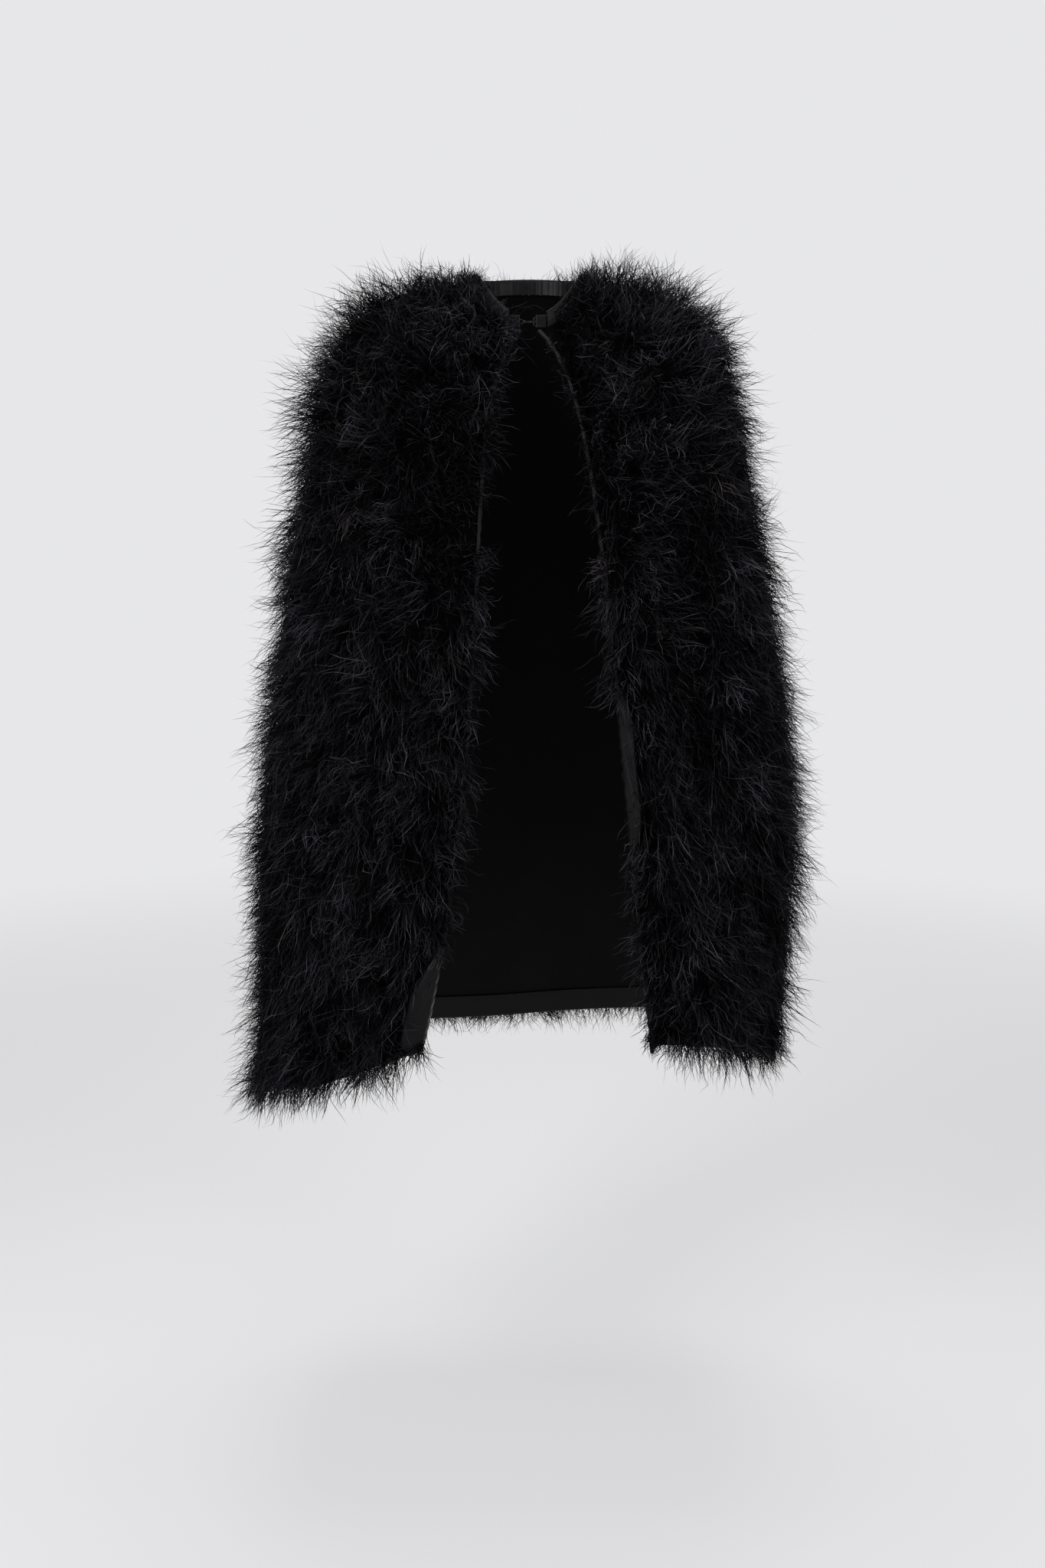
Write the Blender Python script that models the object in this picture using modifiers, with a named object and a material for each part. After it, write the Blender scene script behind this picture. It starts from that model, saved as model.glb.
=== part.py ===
"""A knee-length marabou feather cape, closed at the neck by a wire hook and eye.

Marabou strips are sewn side by side on a satin shell, which has a satin lining, front facings, a hem
binding and a neckband. The frame is in metres, with +Z up. The wearer looks along -Y, so the wearer's
left is +X. The origin is the middle of the neckline, at the height of its sides.
"""

import functools
import math

import bmesh
import bpy
import numpy as np

# The cloth's rings, from the neckline to the hem: place along the drop, half width, depth in front and
# behind, and height at the front, the sides and the back.
RINGS = (
    (0.00, 0.064, 0.082, 0.062, -0.066, 0.000, 0.012),
    (0.05, 0.108, 0.100, 0.082, -0.108, 0.002, -0.012),
    (0.10, 0.154, 0.116, 0.102, -0.158, -0.010, -0.048),
    (0.15, 0.198, 0.130, 0.118, -0.208, -0.036, -0.094),
    (0.20, 0.230, 0.140, 0.130, -0.258, -0.078, -0.142),
    (0.26, 0.246, 0.148, 0.141, -0.316, -0.142, -0.200),
    (0.36, 0.264, 0.156, 0.153, -0.404, -0.246, -0.300),
    (0.50, 0.290, 0.165, 0.165, -0.520, -0.396, -0.446),
    (0.65, 0.314, 0.176, 0.175, -0.640, -0.562, -0.604),
    (0.80, 0.326, 0.188, 0.184, -0.762, -0.728, -0.766),
    (0.90, 0.328, 0.196, 0.190, -0.838, -0.842, -0.868),
    (1.00, 0.330, 0.204, 0.196, -0.908, -0.958, -0.974),
)
NECK_ROUNDNESS = 2.2  # superellipse power of the neckline
HEM_ROUNDNESS = 2.9  # and of the rings below the shoulders
SQUARE_BY = 0.3  # place along the drop where the rings reach the second power
NECK_SHIFT = -0.005  # the neckline sits this far to the wearer's right
SIDE_STRETCH = 0.022  # the wearer's right side hangs this share wider, the left this share narrower
SIDE_DROP = 0.024  # and this much lower at the hem, the left this much higher
DROP_SPAN = 0.08  # half width over which the hem passes from one height to the other
LEVEL_BEHIND = 0.7  # share of that which is missing at the middle of the back
HEM_TUCK = 0.085  # the wearer's left side draws in by this share at the hem
TUCK_TOP = 0.68  # from this place down
CORNER_LIFT = 0.046  # the wearer's right hem rises by this towards its front edge
WAVE = 0.007  # depth of the soft folds at the hem
WAVE_COUNT = 5
WAVE_PHASE = 1.1

# Each front edge, as x against the drop below the hook: (x at the hook, (reach, over what drop) twice,
# flare at the hem).
LEFT_EDGE = (0.004, (0.028, 0.04), (0.085, 0.35), 0.030)
RIGHT_EDGE = (0.0135, (0.042, 0.06), (0.011, 0.30), 0.065)
EDGE_TOP = -0.066
EDGE_LENGTH = 0.84

# The line that each front panel folds back on, outside the pile, mirrored for the right side.
FOLD_TOP = (0.036, -0.197, -0.146)
FOLD_HEM = (0.262, -0.208, -0.930)
FOLD_CLEARANCE = 0.0025  # between the pile and the fold plane, on each side

BINDING_TOP = 0.972  # place along the drop where the hem binding begins
ROWS = (0.012, 0.05, 0.10, 0.15, 0.20, 0.26, 0.33, 0.41, 0.49, 0.57, 0.65, 0.73, 0.81, 0.88, 0.93)
ROWS += (BINDING_TOP, 1.0)
PANEL_ROW = 5  # the row where the front panels begin
MAIN_STRIPS = 22
PANEL_STRIPS = 3
SIDE_SEAM_STRIPS = 5  # strips from each fold line to the side seam
RING_SAMPLES = 241

PILE = 0.037  # depth of the feathers over the shell
NECK_PILE = 0.016  # and at the neckline
PILE_BY = 0.06  # place along the drop where the full depth is reached
STRIP_GAP = 0.0005
SHELL = (0.0, 0.0008)  # the layers, measured outwards from the shell's inner face
STRIP_BASE = 0.0014
LINING = (-0.0012, -0.0006)
FACING = (-0.0040, -0.0032)
FACING_WIDTH = 0.028
CLOTH_TOP = 0.006

BAND_HEIGHT = 0.014
BAND_THICKNESS = 0.0016
BAND_LIFT = 0.0022
BAND_COLUMNS = 26
TAB_LENGTH = 0.012
LEFT_TAB_END = 0.0025
RIGHT_TAB_END = -0.016
BAND_GAP = 0.0006

WIRE = 0.0004  # wire radius of the hook and the eye
LOOP = 0.0021  # radius of their sewing rings
HOOK_BEND_X = -0.0122
HOOK_BEND = 0.0013
HOOK_RING_X = 0.0020
EYE_RING_X = -0.0205
WIRE_OFF_BAND = 0.0014  # from the band's middle to the rings' wire
EYE_OFF_BAND = 0.0020
HOOK_SPREAD = 0.0006  # half the distance between the hook's two wires
EYE_SPREAD = 0.0022
BILL_REACH = 0.0021
BILL_FLARE = 0.0008
THREAD = 0.00025

BLACK_PILE = (0.010, 0.010, 0.012, 1)
BLACK_SATIN = (0.012, 0.012, 0.014, 1)


def clear_scene():
    for obj in list(bpy.data.objects):
        bpy.data.objects.remove(obj, do_unlink=True)


def material(name, colour, roughness, metallic=0.0):
    made = bpy.data.materials.new(name)
    made.use_nodes = True
    shader = made.node_tree.nodes["Principled BSDF"]
    shader.inputs["Base Color"].default_value = colour
    shader.inputs["Roughness"].default_value = roughness
    shader.inputs["Metallic"].default_value = metallic
    return made


# ---- The cloth's shape ----


@functools.lru_cache(maxsize=None)
def ring(place):
    """The ring's six measures at this place, on a smooth curve through RINGS."""
    table = np.array(RINGS)
    at = table[:, 0]
    slopes = np.gradient(table[:, 1:], at, axis=0)
    i = int(np.clip(np.searchsorted(at, place) - 1, 0, len(at) - 2))
    step = at[i + 1] - at[i]
    f = (place - at[i]) / step
    return (
        (2 * f**3 - 3 * f**2 + 1) * table[i, 1:]
        + (f**3 - 2 * f**2 + f) * step * slopes[i]
        + (3 * f**2 - 2 * f**3) * table[i + 1, 1:]
        + (f**3 - f**2) * step * slopes[i + 1]
    )


def cloth_point(angle, place):
    """The shell's inner face. The angle runs from 0 in front to +pi behind over the wearer's left."""
    half, front, back, z_front, z_side, z_back = ring(place)
    power = NECK_ROUNDNESS + (HEM_ROUNDNESS - NECK_ROUNDNESS) * min(1, place / SQUARE_BY)
    sine, cosine = math.sin(angle), math.cos(angle)
    x = half * math.copysign(abs(sine) ** (2 / power), sine)
    x *= 1 - math.copysign(SIDE_STRETCH, sine) * min(1, 4 * place)
    if sine > 0 and place > TUCK_TOP:
        x *= 1 - HEM_TUCK * ((place - TUCK_TOP) / (1 - TUCK_TOP)) ** 1.5 * sine**2
    depth = front if cosine > 0 else back
    y = -depth * math.copysign(abs(cosine) ** (2 / power), cosine)
    folds = 1 + WAVE / half * place**2 * sine**2 * math.sin(WAVE_COUNT * angle + WAVE_PHASE)
    z = z_side + ((z_front if cosine > 0 else z_back) - z_side) * cosine**2
    level = 0 if cosine > 0 else LEVEL_BEHIND * cosine**2
    z += SIDE_DROP * (1 - level) * place**3 * math.tanh(x / DROP_SPAN)
    if sine < 0 < cosine:
        z += CORNER_LIFT * place**6 * cosine**8
    return np.array([x * folds + NECK_SHIFT * (1 - place) ** 2, y * folds, z])


def outward(angle, place):
    """The cloth's unit normal, away from the wearer."""
    step = 1e-4
    low, high = max(place - step, 0), min(place + step, 1)
    around = cloth_point(angle + step, place) - cloth_point(angle - step, place)
    down = cloth_point(angle, high) - cloth_point(angle, low)
    normal = np.cross(down, around)
    return normal / np.linalg.norm(normal)


def angle_where(side, place, x_of_z):
    """The angle at which the ring crosses a line that the front view shows as x against z."""
    low, high = 0.0, math.pi / 2
    for _ in range(50):
        middle = (low + high) / 2
        x, _, z = cloth_point(side * middle, place)
        if side * x < x_of_z(z):
            low = middle
        else:
            high = middle
    return side * low


def edge_x(side, z):
    at_hook, (near, near_over), (far, far_over), flare = LEFT_EDGE if side > 0 else RIGHT_EDGE
    drop = max(0.0, EDGE_TOP - z)
    x = at_hook + near * (1 - math.exp(-drop / near_over)) + far * (1 - math.exp(-drop / far_over))
    return x + flare * (drop / EDGE_LENGTH) ** 3


def fold_x(z):
    (top_x, _, top_z), (hem_x, _, hem_z) = FOLD_TOP, FOLD_HEM
    return top_x + (hem_x - top_x) * (top_z - z) / (top_z - hem_z)


@functools.lru_cache(maxsize=None)
def edge_angle(side, place):
    return angle_where(side, place, lambda z: edge_x(side, z))


@functools.lru_cache(maxsize=None)
def fold_angle(side, place):
    return angle_where(side, place, fold_x)


def main_start(side, place):
    """Where the main cloth begins: the front edge above the panel, and the fold line beside it."""
    edge, fold = edge_angle(side, place), fold_angle(side, place)
    return edge if abs(edge) > abs(fold) else fold


@functools.lru_cache(maxsize=None)
def main_ring(place):
    """Angles round the back from the left fold line to the right one, and the share of the way at each."""
    angles = np.linspace(main_start(1, place), main_start(-1, place) + 2 * math.pi, RING_SAMPLES)
    points = np.array([cloth_point(angle, place) for angle in angles])
    lengths = np.linalg.norm(np.diff(points, axis=0), axis=1)
    return angles, np.concatenate([[0], np.cumsum(lengths)]) / lengths.sum()


def main_angle(share, place):
    angles, shares = main_ring(place)
    return float(np.interp(share, shares, angles))


def panel_angle(side, share, place):
    """The angle at a share of the way across a front panel, from its edge to its fold line."""
    edge, fold = edge_angle(side, place), fold_angle(side, place)
    return edge + (fold - edge) * share


def layer_point(angle, place, height):
    return cloth_point(angle, place) + outward(angle, place) * height


# ---- Meshes ----


def add_object(name, mesh, made, collection):
    obj = bpy.data.objects.new(name, mesh)
    obj.data.materials.append(made)
    collection.objects.link(obj)
    return obj


def loft(name, sections, made, collection):
    """One closed body through equal closed sections, with every quad split the same way."""
    rows, sides = len(sections), len(sections[0])
    points = [tuple(point) for section in sections for point in section]
    faces = []
    for row in range(rows - 1):
        for k in range(sides):
            a, b = row * sides + k, row * sides + (k + 1) % sides
            c, d = a + sides, b + sides
            faces += [(a, b, d), (a, d, c)]
    for k in range(1, sides - 1):
        faces += [(0, k + 1, k), tuple((rows - 1) * sides + i for i in (0, k, k + 1))]
    return closed_mesh(name, points, faces, made, collection)


def closed_mesh(name, points, faces, made, collection):
    mesh = bpy.data.meshes.new(name)
    mesh.from_pydata(points, [], faces)
    work = bmesh.new()
    work.from_mesh(mesh)
    bmesh.ops.recalc_face_normals(work, faces=work.faces)
    work.to_mesh(mesh)
    work.free()
    mesh.validate()
    mesh.shade_smooth()
    mesh.set_sharp_from_angle(angle=math.radians(50))
    return add_object(name, mesh, made, collection)


def slab(name, angles_at, rows, layer, made, collection):
    """A sheet between two heights over the cloth, on a grid of places and of angles along each."""
    grid = [[layer_point(angle, place, h) for angle in angles_at(place) for h in layer] for place in rows]
    columns = len(grid[0]) // 2
    points = [tuple(point) for row in grid for point in row]
    faces = []

    def at(row, column, side):
        return (row * columns + column) * 2 + side

    def quad(a, b, c, d):
        faces.extend([(a, b, c), (a, c, d)])

    for row in range(len(rows) - 1):
        for column in range(columns - 1):
            for side in (0, 1):
                quad(
                    at(row, column, side),
                    at(row, column + 1, side),
                    at(row + 1, column + 1, side),
                    at(row + 1, column, side),
                )
        for column in (0, columns - 1):
            quad(at(row, column, 0), at(row, column, 1), at(row + 1, column, 1), at(row + 1, column, 0))
    for column in range(columns - 1):
        for row in (0, len(rows) - 1):
            quad(at(row, column, 0), at(row, column, 1), at(row, column + 1, 1), at(row, column + 1, 0))
    return closed_mesh(name, points, faces, made, collection)


def strip_section(left, right, place, gaps):
    """The outline of a strip of pile between two angles: flat on the shell, rounded on top."""
    depth = NECK_PILE + (PILE - NECK_PILE) * min(1, place / PILE_BY)
    width = np.linalg.norm(cloth_point(right, place) - cloth_point(left, place))
    first, last = gaps[0] / width, 1 - gaps[1] / width
    side, top = 0.6 * depth, depth
    lean = 0.07
    shape = (
        (first, STRIP_BASE),
        (last, STRIP_BASE),
        (last - lean, side),
        (0.76, top),
        (0.24, top),
        (first + lean, side),
    )
    return [layer_point(left + (right - left) * share, place, height) for share, height in shape]


def wire_curve(name, points, radius, made, collection):
    curve = bpy.data.curves.new(name, "CURVE")
    curve.dimensions = "3D"
    curve.bevel_depth = radius
    curve.bevel_resolution = 2
    curve.use_fill_caps = True
    spline = curve.splines.new("POLY")
    spline.points.add(len(points) - 1)
    for point, place in zip(spline.points, points):
        point.co = (*place, 1)
    return add_object(name, curve, made, collection)


def arc(centre, radius, first, last, count, plane):
    """Points on an arc in the XY or the XZ plane, its angles in degrees."""
    made = []
    for angle in np.radians(np.linspace(first, last, count)):
        across, along = radius * math.cos(angle), radius * math.sin(angle)
        x, y, z = centre
        made.append((x + across, y + along, z) if plane == "XY" else (x + across, y, z + along))
    return made


# ---- Sub-parts ----


def main_strips(made, collection):
    for i in range(MAIN_STRIPS):
        sections = []
        for row, place in enumerate(ROWS):
            beside_fold = row >= PANEL_ROW
            gaps = [STRIP_GAP, STRIP_GAP]
            if beside_fold and i == 0:
                gaps[0] = FOLD_CLEARANCE
            if beside_fold and i == MAIN_STRIPS - 1:
                gaps[1] = FOLD_CLEARANCE
            left, right = (main_angle((i + k) / MAIN_STRIPS, place) for k in (0, 1))
            sections.append(strip_section(left, right, place, gaps))
        loft(f"marabou_strip_{i + 1:02d}", sections, made, collection)


def panel_strips(side, name, made, collection):
    for i in range(PANEL_STRIPS):
        gaps = (STRIP_GAP, FOLD_CLEARANCE if i == PANEL_STRIPS - 1 else STRIP_GAP)
        sections = []
        for place in ROWS[PANEL_ROW:]:
            left, right = (panel_angle(side, (i + k) / PANEL_STRIPS, place) for k in (0, 1))
            sections.append(strip_section(left, right, place, gaps))
        yield loft(f"{name}_front_strip_{i + 1}", sections, made, collection)


def inset(first, last, place, distance):
    """The share of an interval of angles that a distance along the cloth takes."""
    return distance / np.linalg.norm(cloth_point(last, place) - cloth_point(first, place))


def main_cloth(name, first, last, layer, made, collection):
    """The part of the main cloth between two strips' numbers, as one layer."""

    def angles(place):
        shares = [i / MAIN_STRIPS for i in range(first, last + 1)]
        for end, at_fold, sign in ((0, first == 0, 1), (-1, last == MAIN_STRIPS, -1)):
            cell = (main_angle(shares[end], place), main_angle(shares[end] + sign / MAIN_STRIPS, place))
            gap = FOLD_CLEARANCE if at_fold else STRIP_GAP
            shares[end] += sign * inset(*cell, place, gap) / MAIN_STRIPS
        return [main_angle(share, place) for share in shares]

    return slab(name, angles, (CLOTH_TOP, *ROWS), layer, made, collection)


def panel_cloth(side, name, layer, made, collection):
    def angles(place):
        edge, fold = panel_angle(side, 0, place), panel_angle(side, 1, place)
        last = 1 - inset(edge, fold, place, FOLD_CLEARANCE)
        return [panel_angle(side, i / PANEL_STRIPS, place) for i in range(PANEL_STRIPS)] + [
            panel_angle(side, last, place)
        ]

    return slab(name, angles, ROWS[PANEL_ROW:], layer, made, collection)


def facing(side, name, rows, stops_at_fold, made, collection):
    """The turned edge of satin inside a front edge."""

    def angles(place):
        edge, fold = edge_angle(side, place), fold_angle(side, place)
        step = side * 0.02
        width = step * inset(edge, edge + step, place, FACING_WIDTH)
        if stops_at_fold:
            room = (fold - edge) * (1 - inset(edge, fold, place, 2 * FOLD_CLEARANCE))
            width = side * min(abs(width), abs(room))
        return edge, edge + width

    return slab(name, angles, rows, FACING, made, collection)


def binding(name, angles, made, collection):
    return slab(name, angles, (BINDING_TOP, 1.0), FACING, made, collection)


def neckband(made, collection):
    """The band from one tab round the neck to the other."""
    first = band_angle(LEFT_TAB_END + TAB_LENGTH + BAND_GAP)
    last = band_angle(RIGHT_TAB_END - TAB_LENGTH - BAND_GAP) + 2 * math.pi
    sections = []
    for angle in np.linspace(first, last, BAND_COLUMNS):
        base = cloth_point(angle, 0) + np.array([0, 0, BAND_LIFT])
        out = neckline_outward(angle) * BAND_THICKNESS / 2
        up = np.array([0, 0, BAND_HEIGHT])
        sections.append([base - out, base + out, base + out + up, base - out + up])
    return loft("neckband", sections, made, collection)


def neckline_outward(angle):
    """The neckline's unit normal, level with the ground."""
    step = 1e-3
    along = cloth_point(angle + step, 0) - cloth_point(angle - step, 0)
    return np.array([along[1], -along[0], 0]) / math.hypot(along[0], along[1])


def band_angle(x):
    """The neckline's angle at this x in front."""
    side = 1 if x > 0 else -1
    return angle_where(side, 0, lambda z: side * x)


def tab(name, low_x, middle, made, collection):
    """A flat stiffened end of the neckband, which carries the hook or the eye."""
    bpy.ops.mesh.primitive_cube_add(size=1, location=(low_x + TAB_LENGTH / 2, middle[0], middle[1]))
    obj = bpy.context.object
    obj.name = name
    obj.data.name = name
    obj.scale = (TAB_LENGTH, BAND_THICKNESS, BAND_HEIGHT)
    bpy.ops.object.transform_apply(location=False, rotation=False, scale=True)
    rounded = obj.modifiers.new("rounded edges", "BEVEL")
    rounded.width = 0.0005
    rounded.segments = 1
    obj.data.materials.append(made)
    for owner in list(obj.users_collection):
        owner.objects.unlink(obj)
    collection.objects.link(obj)
    return obj


def mirrored(points):
    """The path, joined to its own mirror image below."""
    return points + [(x, y, -z) for x, y, z in reversed(points)]


def placed(points, middle):
    return [(x, middle[0] + y, middle[1] + z) for x, y, z in points]


def wire_hook(middle, made, collection):
    """Two sewing rings, and a doubled wire that turns back on itself towards the front."""
    low, high = WIRE_OFF_BAND, EYE_OFF_BAND + HOOK_BEND
    ring_centre = (HOOK_RING_X, low, HOOK_SPREAD + LOOP)
    path = arc(ring_centre, LOOP, 210, -90, 13, "XZ")
    for share in (0.15, 0.3, 0.5, 1.0):
        rise = min(1, share / 0.5)
        x = HOOK_RING_X + (HOOK_BEND_X - HOOK_RING_X) * share
        path.append((x, low + (high - low) * rise**2 * (3 - 2 * rise), HOOK_SPREAD))
    path.pop()
    path += arc((HOOK_BEND_X, EYE_OFF_BAND, HOOK_SPREAD), HOOK_BEND, 90, 270, 9, "XY")
    tip = (HOOK_BEND_X + BILL_REACH, EYE_OFF_BAND - HOOK_BEND - BILL_FLARE)
    turn = arc((tip[0], tip[1], 0), HOOK_SPREAD, 90, 0, 4, "XZ")
    path += turn[:-1]
    end = [turn[-1]]
    below = [(x, y, -z) for x, y, z in reversed(path)]
    return wire_curve("wire_hook", placed(path + end + below, middle), WIRE, made, collection)


def wire_eye(middle, made, collection):
    """Two sewing rings, and a loop whose end lies inside the hook's bend."""
    path = arc((EYE_RING_X, WIRE_OFF_BAND, EYE_SPREAD + LOOP), LOOP, -30, 270, 13, "XZ")
    path.append((EYE_RING_X + 0.003, WIRE_OFF_BAND + 0.0002, EYE_SPREAD))
    corner = 0.001
    path += [
        (x, EYE_OFF_BAND, z)
        for x, _, z in arc((HOOK_BEND_X - corner, 0, EYE_SPREAD - corner), corner, 90, 0, 4, "XZ")
    ]
    return wire_curve("wire_eye", placed(mirrored(path), middle), WIRE, made, collection)


def stitch(name, x, height, middle, made, collection):
    """A stitch over a sewing ring's wire, from the band and back into it."""
    reach = BAND_THICKNESS / 2 + THREAD + 0.0002
    over = WIRE_OFF_BAND + WIRE + THREAD + 0.0002
    half = WIRE + THREAD + 0.0003
    path = [(x - half, reach, height), (x - half, over - 0.0002, height)]
    path += [(x - half + 0.0003, over, height), (x + half - 0.0003, over, height)]
    path += [(x + half, over - 0.0002, height), (x + half, reach, height)]
    return wire_curve(name, placed(path, middle), THREAD, made, collection)


def parented(objects, name, place, collection):
    """An empty on a joint's axis, which carries these objects."""
    empty = bpy.data.objects.new(name, None)
    empty.location = place
    collection.objects.link(empty)
    bpy.context.view_layer.update()
    for obj in objects:
        obj.parent = empty
        obj.matrix_parent_inverse = empty.matrix_world.inverted()


def main():
    clear_scene()
    collection = bpy.data.collections.new("marabou_cape")
    bpy.context.scene.collection.children.link(collection)
    pile = material("marabou", BLACK_PILE, 0.85)
    satin = material("shell_satin", BLACK_SATIN, 0.5)
    lining = material("lining_satin", BLACK_SATIN, 0.35)
    trim = material("trim_satin", BLACK_SATIN, 0.4)
    wire = material("blackened_wire", (0.08, 0.08, 0.09, 1), 0.35, 1.0)
    thread = material("thread", (0.012, 0.012, 0.012, 1), 0.7)

    main_strips(pile, collection)
    parts = (("left", 0, SIDE_SEAM_STRIPS), ("back", SIDE_SEAM_STRIPS, MAIN_STRIPS - SIDE_SEAM_STRIPS))
    parts += (("right", MAIN_STRIPS - SIDE_SEAM_STRIPS, MAIN_STRIPS),)
    for name, first, last in parts:
        main_cloth(f"shell_{name}", first, last, SHELL, satin, collection)
        main_cloth(f"lining_{name}", first, last, LINING, lining, collection)
    binding(
        "hem_binding_back",
        lambda place: [main_angle(0.004 + 0.992 * i / MAIN_STRIPS, place) for i in range(MAIN_STRIPS + 1)],
        trim,
        collection,
    )

    for side, name in ((1, "left"), (-1, "right")):
        upper = [place for place in ROWS[1:PANEL_ROW]] + [ROWS[PANEL_ROW] - 0.004]
        facing(side, f"facing_{name}_upper", upper, False, trim, collection)
        panel = list(panel_strips(side, name, pile, collection))
        panel.append(panel_cloth(side, f"shell_{name}_front", SHELL, satin, collection))
        panel.append(panel_cloth(side, f"lining_{name}_front", LINING, lining, collection))
        lower = [place for place in ROWS[PANEL_ROW:-2]] + [BINDING_TOP - 0.004]
        panel.append(facing(side, f"facing_{name}", lower, True, trim, collection))
        shares = (0.0, 0.33, 0.66, 0.97)
        panel.append(
            binding(
                f"hem_binding_{name}",
                lambda place, side=side: [panel_angle(side, share, place) for share in shares],
                trim,
                collection,
            )
        )
        x, y, z = FOLD_TOP
        parented(panel, f"{name}_fold_axis", (side * x, y, z), collection)

    middle = (float(cloth_point(0, 0)[1]), EDGE_TOP + BAND_LIFT + BAND_HEIGHT / 2)
    neckband(trim, collection)
    tab("neckband_left_end", LEFT_TAB_END, middle, trim, collection)
    eye_end = [tab("neckband_right_end", RIGHT_TAB_END - TAB_LENGTH, middle, trim, collection)]
    wire_hook(middle, wire, collection)
    eye_end.append(wire_eye(middle, wire, collection))
    stitch("hook_thread", HOOK_RING_X + LOOP, HOOK_SPREAD + LOOP, middle, thread, collection)
    eye_end.append(stitch("eye_thread", EYE_RING_X - LOOP, EYE_SPREAD + LOOP, middle, thread, collection))
    parented(eye_end, "eye_slide", (HOOK_BEND_X, middle[0] + EYE_OFF_BAND, middle[1]), collection)


main()
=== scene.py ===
import math
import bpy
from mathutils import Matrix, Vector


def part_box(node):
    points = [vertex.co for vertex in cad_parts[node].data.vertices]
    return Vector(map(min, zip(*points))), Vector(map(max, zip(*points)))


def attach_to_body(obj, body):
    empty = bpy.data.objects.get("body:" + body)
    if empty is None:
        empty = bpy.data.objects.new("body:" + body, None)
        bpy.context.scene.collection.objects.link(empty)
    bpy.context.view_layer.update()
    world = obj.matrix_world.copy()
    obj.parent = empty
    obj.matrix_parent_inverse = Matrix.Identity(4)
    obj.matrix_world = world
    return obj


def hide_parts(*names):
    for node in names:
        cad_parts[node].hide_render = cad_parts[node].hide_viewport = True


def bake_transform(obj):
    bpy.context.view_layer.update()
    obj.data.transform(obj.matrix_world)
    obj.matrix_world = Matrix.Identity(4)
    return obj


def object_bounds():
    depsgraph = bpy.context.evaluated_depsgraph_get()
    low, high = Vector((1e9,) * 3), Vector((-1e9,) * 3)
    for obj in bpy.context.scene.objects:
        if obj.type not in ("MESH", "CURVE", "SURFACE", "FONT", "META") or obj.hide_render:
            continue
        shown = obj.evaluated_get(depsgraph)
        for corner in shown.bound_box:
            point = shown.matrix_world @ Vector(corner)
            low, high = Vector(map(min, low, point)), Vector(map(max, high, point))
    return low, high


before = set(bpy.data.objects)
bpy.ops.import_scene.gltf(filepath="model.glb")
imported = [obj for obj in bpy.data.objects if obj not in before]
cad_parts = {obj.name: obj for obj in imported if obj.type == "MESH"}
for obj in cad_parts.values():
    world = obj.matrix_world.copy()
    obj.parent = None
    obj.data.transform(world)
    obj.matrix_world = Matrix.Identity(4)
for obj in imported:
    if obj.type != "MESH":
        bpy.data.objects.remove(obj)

from types import SimpleNamespace

import bpy
import numpy as np
from mathutils import Vector

CAD_BOX = [list(corner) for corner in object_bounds()]

# A knee-length marabou feather cape. Rows of tufts grow from a satin shell, which has a satin lining,
# front facings, a hem binding, a neckband and a wire hook and eye. Metres, +Z up, the wearer looks
# along -Y and the wearer's left is +X.

# ---- The cloth's shape, as in the frame ----

# The cloth's rings, from neckline to hem: place along the drop, half width, depth in front and behind,
# and height at the front, the sides and the back.
RINGS = np.array((
    (0.00, 0.064, 0.082, 0.062, -0.066, 0.000, 0.012),
    (0.05, 0.108, 0.100, 0.082, -0.108, 0.002, -0.012),
    (0.10, 0.154, 0.116, 0.102, -0.158, -0.010, -0.048),
    (0.15, 0.198, 0.130, 0.118, -0.208, -0.036, -0.094),
    (0.20, 0.230, 0.140, 0.130, -0.258, -0.078, -0.142),
    (0.26, 0.246, 0.148, 0.141, -0.316, -0.142, -0.200),
    (0.36, 0.264, 0.156, 0.153, -0.404, -0.246, -0.300),
    (0.50, 0.290, 0.165, 0.165, -0.520, -0.396, -0.446),
    (0.65, 0.314, 0.176, 0.175, -0.640, -0.562, -0.604),
    (0.80, 0.326, 0.188, 0.184, -0.762, -0.728, -0.766),
    (0.90, 0.328, 0.196, 0.190, -0.838, -0.842, -0.868),
    (1.00, 0.330, 0.204, 0.196, -0.908, -0.958, -0.974),
))
NECK_ROUNDNESS = 2.2  # superellipse power of the neckline
HEM_ROUNDNESS = 2.9  # and of the rings below the shoulders
SQUARE_BY = 0.3  # the place by which that power is reached
NECK_SHIFT = -0.005
SIDE_STRETCH = 0.022  # the wearer's left is narrower and the right wider by this share
SIDE_DROP = 0.024  # the left hem is higher and the right hem lower by this
DROP_SPAN = 0.08
LEVEL_BEHIND = 0.7  # how much less that is behind
HEM_TUCK = 0.085  # how far the left side pulls in at the hem, as a share
TUCK_TOP = 0.68
CORNER_LIFT = 0.046  # the right hem rises by this towards its front edge
WAVE = 0.007
WAVE_COUNT = 5
WAVE_PHASE = 1.1

# Each front edge, as x against the drop below the hook: (x at the hook, (reach, over what drop) twice,
# flare at the hem). Sides are 1 for the wearer's left and -1 for the right.
LEFT_EDGE = (0.004, (0.028, 0.04), (0.085, 0.35), 0.030)
RIGHT_EDGE = (0.0135, (0.042, 0.06), (0.011, 0.30), 0.065)
EDGE_TOP = -0.066
EDGE_LENGTH = 0.84
FOLD_TOP = (0.036, -0.197, -0.146)  # the line that each front turns on
FOLD_HEM = (0.262, -0.208, -0.930)

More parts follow.
